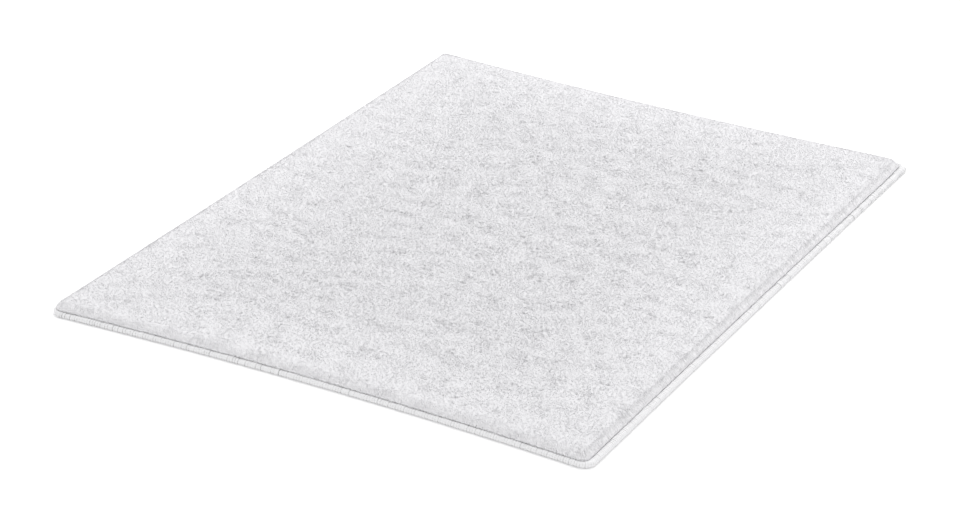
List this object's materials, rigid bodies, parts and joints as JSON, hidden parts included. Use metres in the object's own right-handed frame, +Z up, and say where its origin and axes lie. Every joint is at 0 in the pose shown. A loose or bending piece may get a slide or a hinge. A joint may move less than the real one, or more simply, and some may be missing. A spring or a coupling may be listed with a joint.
{
  "type": "tufted bath mat",
  "caption": "Rectangular tufted bath mat: thick cut pile on a latex-coated cloth, with a flat taped and overcast hem and rounded corners.",
  "frame": {"origin": "on the floor under the middle of the mat", "axes": "+X across the mat, +Y along its length, +Z up out of the pile"},
  "size_m": [0.4998, 0.6984, 0.0133],
  "materials": {
    "pile": "white soft cut yarn, matt",
    "ground_cloth": "plain weave, matt",
    "latex": "off-white, matt, finely dimpled",
    "hem_tape": "white close twill tape, slight sheen",
    "thread": "white twisted thread, slight sheen"
  },
  "bodies": {
    "root": {"cut_pile": "pile", "ground_cloth": "ground_cloth", "latex_coating": "latex", "hem_tape": "hem_tape", "overcast_thread": "thread", "seam_needle_thread": "thread", "seam_bobbin_thread": "thread"}
  },
  "joints": []
}
